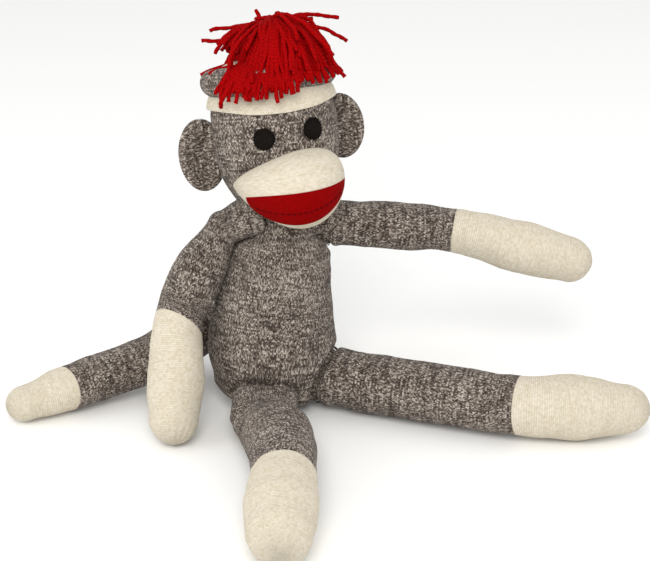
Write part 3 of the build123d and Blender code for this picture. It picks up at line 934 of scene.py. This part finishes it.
def root_stitches(body, spine, radius, back):
    """Stitches across the crease where a limb is sewn to the torso."""
    count = int(radius * math.tau / SEWN_PITCH)
    marks = np.linspace(0, spine.length, ROOT_MARKS)
    _, first, second = spine.frames(marks, back)
    centres = spine.point(marks)
    parts = []
    for i in range(count):
        angle = i / count * math.tau
        out = math.cos(angle) * first + math.sin(angle) * second
        line = centres + out * radius
        clear = outside_torso(line)
        crossing = np.argmax(clear > 0)
        if clear[crossing] <= 0 or crossing == 0 or line[crossing][2] < SEWN_CLEAR:
            continue
        on_limb = line[min(crossing + SEWN_MARKS, ROOT_MARKS - 1)]
        height = (line[crossing] - TORSO_SPINE.point(0)[0]) @ TORSO_ALONG
        away = unit(line[crossing] - TORSO_SPINE.point(height)[0])
        on_torso = line[crossing] + out[crossing] * SEWN_SPAN
        lift = unit(out[crossing] + away)
        sunk = lift * SEWN_SUNK
        path = stitch_path(on_limb - sunk, on_torso - sunk, lift, SEWN_PROUD)
        parts.append(thread_part(path, ROOT_THREAD))
    if not parts:
        return
    piece = joined(body + "_thread", parts, GREY_THREAD)
    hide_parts(body + "_stitches")
    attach(piece, "torso")


# ---- Head ----

HEAD_SPINE = Spine([(*on_head(0, 0, up), radius) for up, radius in HEAD_OUTLINE])
HEAD_START = HEAD_OUTLINE[0][0]


def head():
    piece = skin("head_skin", HEAD_SPINE, 0, HEAD_SPINE.length, HEAD_CAPS, tuple(HEAD_Y), GREY_KNIT,
                 pucker=0.6)
    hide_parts("head_cover", "head_stuffing")
    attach(piece, "head")


def head_side(across, up, lift):
    """A point on the face: across is measured around the head from its middle."""
    radius = HEAD_SPINE.radius(np.asarray(up, float) - HEAD_START)
    angle = np.asarray(across) / radius
    return on_head(np.sin(angle) * (radius + lift), -np.cos(angle) * (radius + lift), up)


def eye(name, place):
    """A round felt patch with thread over its edge."""

    def point(across, up, lift):
        return head_side(place[0] + across * EYE_RADIUS, place[1] + up * EYE_RADIUS, lift)

    shares, lifts = np.array(EYE_PROFILE).T
    turn = np.linspace(0, math.tau, EYE_SIDES + 1)
    knit = EYE_RADIUS * np.stack([np.outer(shares, np.cos(turn)), np.outer(shares, np.sin(turn))], axis=-1)
    turn = turn[:-1]
    wave = 1 + EYE_WAVE * np.cos(turn * EYE_WAVES)
    across = np.outer(shares, np.cos(turn) * wave)
    up = np.outer(shares, np.sin(turn) * wave)
    piece = surface(name + "_felt", point(across, up, lifts[:, None]), knit, BLACK_FELT)
    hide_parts(name)
    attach(piece, "head")
    edge = []
    shares, lifts = np.array(EYE_STITCH).T
    for i in range(EYE_STITCHES):
        angle = i / EYE_STITCHES * math.tau
        edge.append(thread_part(point(shares * math.cos(angle), shares * math.sin(angle), lifts), EYE_THREAD))
    thread = joined(name + "_thread", edge, BLACK_THREAD)
    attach(thread, "head")


def ear(name, place, half_width, half_height):
    """A padded ear, cupped to the front, with its inner side sewn to the head."""
    side = math.copysign(1, place[0])
    turn = np.arange(EAR_SIDES) / EAR_SIDES * math.tau
    rim = EAR_RIM + (1 - EAR_RIM) * np.sin(np.linspace(0.15, math.pi / 2, EAR_ROWS[1]))
    shares = np.concatenate([np.linspace(0.03, EAR_RIM, EAR_ROWS[0]), rim])
    near_edge = ((shares - (1 - EAR_ROUND)) / EAR_ROUND).clip(0, 1)
    edge = np.sqrt(np.clip(1 - near_edge**2, 0, 1)) * EAR_THICK / 2
    front = EAR_CUP * (1 - smooth_step(shares, *CUP_SHARES)) - edge
    rear = edge - EAR_HOLLOW * (1 - smooth_step(shares, *HOLLOW_SHARES))
    share_rows = np.concatenate([shares, shares[::-1]])
    depth_rows = np.concatenate([front, rear[::-1]])
    across = np.outer(share_rows, np.cos(turn)) * half_width
    up = np.outer(share_rows, np.sin(turn)) * half_height
    curl = -EAR_CURL * (side * across + half_width) ** 2
    points = on_head(place[0] + across, place[1] + depth_rows[:, None] + curl, place[2] + up)
    points = points + HEAD_Y * (lumps(points, EAR_LUMP) * EAR_PUCKER)[..., None]
    closed_turn = np.append(turn, math.tau)
    rows = np.outer(share_rows, np.cos(closed_turn)) * half_width / COURSE
    knit = knit_of(rows, np.outer(share_rows, np.sin(closed_turn)) * half_height / WALE)
    piece = surface(name + "_skin", points, knit, GREY_KNIT)
    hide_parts(name + "_cover", name + "_padding")
    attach(piece, "head")


def muzzle_radius(across):
    share = across / MUZZLE_HALF_WIDTH
    share = share - MUZZLE_SKEW * np.clip(1 - share**2, 0, 1)
    return MUZZLE_RADIUS * np.clip(1 - share**2, 0, 1) ** np.where(share < 0, *MUZZLE_POINT)


def muzzle_side(across, angle, lift=0.0):
    """A point on the muzzle: the angle is down from straight ahead, around the line across."""
    across = np.asarray(across)
    reach = muzzle_radius(across) + lift
    out = (across / MUZZLE_HALF_WIDTH) ** 2
    back = MUZZLE_AT[1] + MUZZLE_SWEEP * out - reach * np.cos(angle)
    up = MUZZLE_AT[2] + np.where(across < 0, *MUZZLE_LIFT) * out - reach * np.sin(angle)
    return on_head(MUZZLE_AT[0] + across, back, up)


def muzzle():
    turns = np.linspace(-math.pi / 2, math.pi / 2, MUZZLE_CELLS[0])[1:-1]
    across = (MUZZLE_HALF_WIDTH * np.sin(turns))[:, None]
    angle = (np.arange(MUZZLE_CELLS[1]) / MUZZLE_CELLS[1] * math.tau)[None, :]
    points = muzzle_side(across + 0 * angle, angle + 0 * across)
    points = points + HEAD_Z * (lumps(points, MUZZLE_LUMP) * MUZZLE_PUCKER)[..., None]
    closed = np.append(angle[0], math.tau)[None, :]
    knit = knit_of(closed * MUZZLE_RADIUS / COURSE, across / WALE)
    piece = surface("muzzle_skin", points, knit, CREAM_KNIT)
    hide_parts("muzzle_cover", "muzzle_stuffing")
    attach(piece, "head")


def lip_edge(across, middle, roundness):
    """Angle of a lip's edge round the muzzle: it runs from corner to corner through its middle."""
    place = (across - MOUTH_MIDDLE) / MOUTH_HALF_WIDTH
    corner = np.interp(place, (-1, 1), MOUTH_CORNERS)
    level = corner + (middle - corner) * np.clip(1 - place**2, 0, 1) ** roundness
    return np.arcsin(np.clip(-level / np.maximum(muzzle_radius(across), 1e-6), -1, 1))


def mouth():
    across = MOUTH_MIDDLE + MOUTH_HALF_WIDTH * np.sin(np.linspace(-math.pi / 2, math.pi / 2, FELT_COLUMNS))
    top = lip_edge(across, *UPPER_LIP)
    bottom = lip_edge(across, *LOWER_LIP)
    shares = np.concatenate([[0, 0], np.linspace(0.02, 0.98, FELT_ROWS), [1, 1]])
    lifts = np.concatenate([FELT_EDGE, np.full(FELT_ROWS, FELT), FELT_EDGE[::-1]])
    angle = top[None, :] + (bottom - top)[None, :] * shares[:, None]
    points = muzzle_side(across[None, :] + 0 * angle, angle, lifts[:, None])
    knit = knit_of(angle * MUZZLE_RADIUS, across[None, :])
    piece = surface("mouth_felt", points, knit, RED_FELT, closed=False, tips=(False, False))
    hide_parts("mouth_patch")
    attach(piece, "head")


def lip_line():
    """A running stitch between the lips."""
    parts = []
    place = MOUTH_MIDDLE - MOUTH_HALF_WIDTH * LIP_REACH
    while place < MOUTH_MIDDLE + MOUTH_HALF_WIDTH * LIP_REACH:
        across = np.linspace(place, place + LIP_STITCH, LIP_POINTS)
        top = lip_edge(across, *UPPER_LIP)
        angle = top + (lip_edge(across, *LOWER_LIP) - top) * LIP_SHARE
        rise = FELT - LIP_SUNK + LIP_PROUD * np.sqrt(np.sin(np.linspace(0, math.pi, LIP_POINTS)))
        parts.append(thread_part(muzzle_side(across, angle, rise), LIP_THREAD))
        place += LIP_STITCH + LIP_GAP
    piece = joined("lip_thread", parts, DARK_RED_THREAD)
    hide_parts("lip_stitching")
    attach(piece, "head")


# ---- Hat ----


def turned(name, profile, material, pucker, tips=(False, False), size=14.0, raised=0.0):
    """A piece turned around the head's axis from a profile of (radius, height).

    Its lower edge can be raised at the sides of the head.
    """
    profile = np.array(profile, float)
    widest = profile[:, 0].max()
    around = int(widest * math.tau / CELL)
    turn = np.arange(around) / around * math.tau
    across = np.outer(profile[:, 0], np.sin(turn))
    back = np.outer(profile[:, 0], np.cos(turn))
    lowness = (profile[:, 1].max() - profile[:, 1]) / np.ptp(profile[:, 1])
    points = on_head(across, back, profile[:, 1][:, None] + raised * np.outer(lowness, np.sin(turn) ** 2))
    slope = np.gradient(profile, axis=0)
    slope /= np.maximum(np.linalg.norm(slope, axis=1), 1e-9)[:, None]
    out = np.stack([slope[:, 1], -slope[:, 0]], axis=1)
    facing = np.sin(turn)[:, None] * HEAD_X + np.cos(turn)[:, None] * HEAD_Y
    normals = out[:, 0][:, None, None] * facing + out[:, 1][:, None, None] * HEAD_Z
    points = points + normals * (lumps(points, size) * pucker)[..., None]
    knit = in_rows(np.linalg.norm(np.diff(profile, axis=0), axis=1), around, widest)
    return surface(name, points, knit, material, tips=tips)


def squared(value):
    """A sine or cosine that is filled out, so that an oval becomes a rounded box."""
    return math.copysign(abs(value) ** 0.5, value)


def hat():
    middle = (BAND_LOW + BAND_TOP) / 2
    half = (BAND_TOP - BAND_LOW) / 2 + BAND_EDGE
    outline = []
    ring = []
    for t in np.linspace(0, math.tau, RING_POINTS):
        up = middle + half * squared(math.sin(t))
        inner = float(HEAD_SPINE.radius(up - HEAD_START))
        outline.append((inner + BAND_CLEAR + BAND_EDGE * squared(math.cos(t)), up))
        ring.append((ROLL_RING + ROLL_HALF_WIDTH * math.cos(t), ROLL_LEVEL + ROLL_HALF_HEIGHT * math.sin(t)))
    band = turned("hat_band_skin", outline, CREAM_KNIT, pucker=0.4, raised=BAND_RAISED)
    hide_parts("hat_band")
    roll = turned("hat_roll_skin", ring, GREY_KNIT, pucker=1.3, size=20.0)
    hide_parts("hat_roll")
    dome = []
    for t in np.linspace(CROWN_FROM, CROWN_TO, CROWN_ROWS):
        radius = CROWN_RADIUS * math.cos(t) ** (CROWN_FLAT if t > 0 else 1)
        dome.append((radius, CROWN_LEVEL + CROWN_RISE * math.sin(t)))
    crown = turned("hat_crown_skin", dome, CREAM_KNIT, pucker=1.0, tips=(True, True))
    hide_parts("hat_top")
    for piece in (band, roll, crown):
        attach(piece, "head")


# ---- Pompom ----

HEAP = on_head(*MOP_AT)


def kept_clear(point, layer):
    """The point moved off the heap below it, and out of the hat."""
    offset = point - HEAP
    up = offset @ HEAD_Z
    flat = offset - up * HEAD_Z
    side = np.linalg.norm(flat)
    if up > 0:
        reach = math.hypot(side / (MOP_RADIUS + layer), up / (MOP_HEIGHT + layer))
        if reach < 1:
            point = HEAP + offset / reach
    from_axis = point - NECK
    height = from_axis @ HEAD_Z
    out = from_axis - height * HEAD_Z
    hat_side = np.linalg.norm(out)
    widest = HAT_RADIUS - max(height - ROLL_LEVEL, 0) * HAT_SLOPE + YARN
    if height < ROLL_LEVEL + ROLL_HALF_HEIGHT and hat_side < widest:
        point = NECK + height * HEAD_Z + out / hat_side * widest
    return point


def yarn_path(draw, start, heading, length, droop, layer):
    """A length of yarn that bends down under its own weight."""
    points = [kept_clear(start, layer)]
    heading = unit(heading)
    for _ in range(int(length / YARN_STEP)):
        waver = np.array([draw.gauss(0, YARN_WAVER) for _ in range(3)])
        heading = unit(heading - UP * droop * YARN_STEP + waver)
        place = kept_clear(points[-1] + heading * YARN_STEP, layer)
        heading = unit(place - points[-1])
        points.append(place)
    return np.array(points)


def spray(angle, lift):
    """A direction out from the head's axis: the angle is round from the back, the lift is up."""
    out = math.sin(angle) * HEAD_X + math.cos(angle) * HEAD_Y
    return math.cos(lift) * out + math.sin(lift) * HEAD_Z


def yarn_part(path):
    return thread_part(path, YARN, YARN_PLIES, YARN_TWIST)


def pompom():
    """Lengths of yarn tied over the crown, falling all around it."""
    draw = random.Random(YARN_SEED)
    knot = on_head(*KNOT_AT)
    parts = []
    for i in range(STRANDS):
        place = 2 * (i * GOLDEN % 1) - 1
        gather, fall = MOP_ONE_SIDE if place > 0 else MOP_OTHER_SIDE
        angle = MOP_FRONT + math.pi * math.copysign(abs(place) ** gather, place)
        front = ((1 + math.cos(angle - MOP_FRONT)) / 2) ** fall
        layer = draw.uniform(*MOP_LAYER)
        heading = spray(angle + draw.gauss(0, STRAND_TURN), draw.uniform(*STRAND_LIFT))
        start = knot + spray(angle, 0) * draw.uniform(*STRAND_START)
        length = draw.uniform(*STRAND_SHARE) * (STRAND_LENGTH + STRAND_FRONT * front)
        parts.append(yarn_part(yarn_path(draw, start, heading, length, draw.uniform(*STRAND_DROOP), layer)))
    for angle, lift, length in STRAYS:
        start = knot + spray(angle, 0) * STRAY_START
        parts.append(yarn_part(yarn_path(draw, start, spray(angle, lift), length, STRAY_DROOP, STRAY_LAYER)))
    piece = joined("pompom_yarn", parts, RED_YARN)
    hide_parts("pompom")
    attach(piece, "head")

    turn = np.linspace(0, math.tau, TIE_POINTS)
    ring = knot + np.outer(np.sin(turn) * TIE_RADIUS, HEAD_X) + np.outer(np.cos(turn) * TIE_RADIUS, HEAD_Y)
    loops = [yarn_part(ring + HEAD_Z * level) for level in TIE_LEVELS]
    tie = joined("pompom_tie_yarn", loops, RED_YARN)
    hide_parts("pompom_tie")
    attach(tie, "head")


# ---- Stage ----

CAMERA_AIM = Vector((0.01886, -0.03486, 0.10547))
CAMERA_AWAY = 1.2
CAMERA_TURN = math.radians(-30)
CAMERA_LIFT = math.radians(25)
CAMERA_LENS = 88.6
CAMERA_SENSOR = 36
FLOOR_HALF = 6.0
PAPER = (0.93, 0.93, 0.92, 1)
SKY_STRENGTH = 0.85
# Lights: name, place, aim, size, power and colour.
LIGHTS = [
    ("key", (-0.7, -1.1, 1.3), (0, -0.03, 0.1), 0.9, 16, (1.0, 0.98, 0.95)),
    ("fill", (1.2, -0.9, 0.8), (0, 0, 0.1), 1.2, 3.5, (0.97, 0.98, 1.0)),
    ("side", (-1.3, 0.1, 0.6), (-0.1, 0, 0.1), 0.8, 4, (1.0, 1.0, 1.0)),
]


def camera():
    data = bpy.data.cameras.new("camera")
    data.lens = CAMERA_LENS
    data.sensor_width = CAMERA_SENSOR
    holder = placed("camera", data)
    level = math.cos(CAMERA_LIFT)
    back = Vector((math.sin(CAMERA_TURN) * level, -math.cos(CAMERA_TURN) * level, math.sin(CAMERA_LIFT)))
    holder.location = CAMERA_AIM + back * CAMERA_AWAY
    holder.rotation_euler = back.to_track_quat("Z", "Y").to_euler()
    bpy.context.scene.camera = holder


def area_light(name, place, aim, size, power, colour):
    data = bpy.data.lights.new(name, "AREA")
    data.shape = "DISK"
    data.size = size
    data.energy = power
    data.color = colour
    holder = placed(name, data)
    holder.location = place
    holder.rotation_euler = (Vector(aim) - Vector(place)).to_track_quat("-Z", "Y").to_euler()


def stage():
    paper = bpy.data.materials.new("floor_paper")
    paper.use_nodes = True
    shader = paper.node_tree.nodes["Principled BSDF"]
    shader.inputs["Base Color"].default_value = PAPER
    shader.inputs["Roughness"].default_value = 0.9
    shader.inputs["Specular IOR Level"].default_value = 0.1
    mesh = bpy.data.meshes.new("floor")
    corners = [(x * FLOOR_HALF, y * FLOOR_HALF, 0) for x, y in ((-1, -1), (1, -1), (1, 1), (-1, 1))]
    mesh.from_pydata(corners, [], [(0, 1, 2, 3)])
    mesh.materials.append(paper)
    floor = placed("floor", mesh)
    world = bpy.data.worlds.new("studio")
    world.use_nodes = True
    world.node_tree.nodes["Background"].inputs["Color"].default_value = (1, 1, 1, 1)
    world.node_tree.nodes["Background"].inputs["Strength"].default_value = SKY_STRENGTH
    bpy.context.scene.world = world
    bpy.context.scene.view_settings.view_transform = "Standard"
    for light in LIGHTS:
        area_light(*light)


camera()
stage()
torso()
neck()
closing_seam()
for limb_name, limb_parts in LIMBS.items():
    limb(limb_name, limb_parts)
head()
for eye_name, eye_place in EYES.items():
    eye(eye_name, eye_place)
for ear_name, ear_shape in EARS.items():
    ear(ear_name, *ear_shape)
muzzle()
mouth()
lip_line()
hat()
pompom()
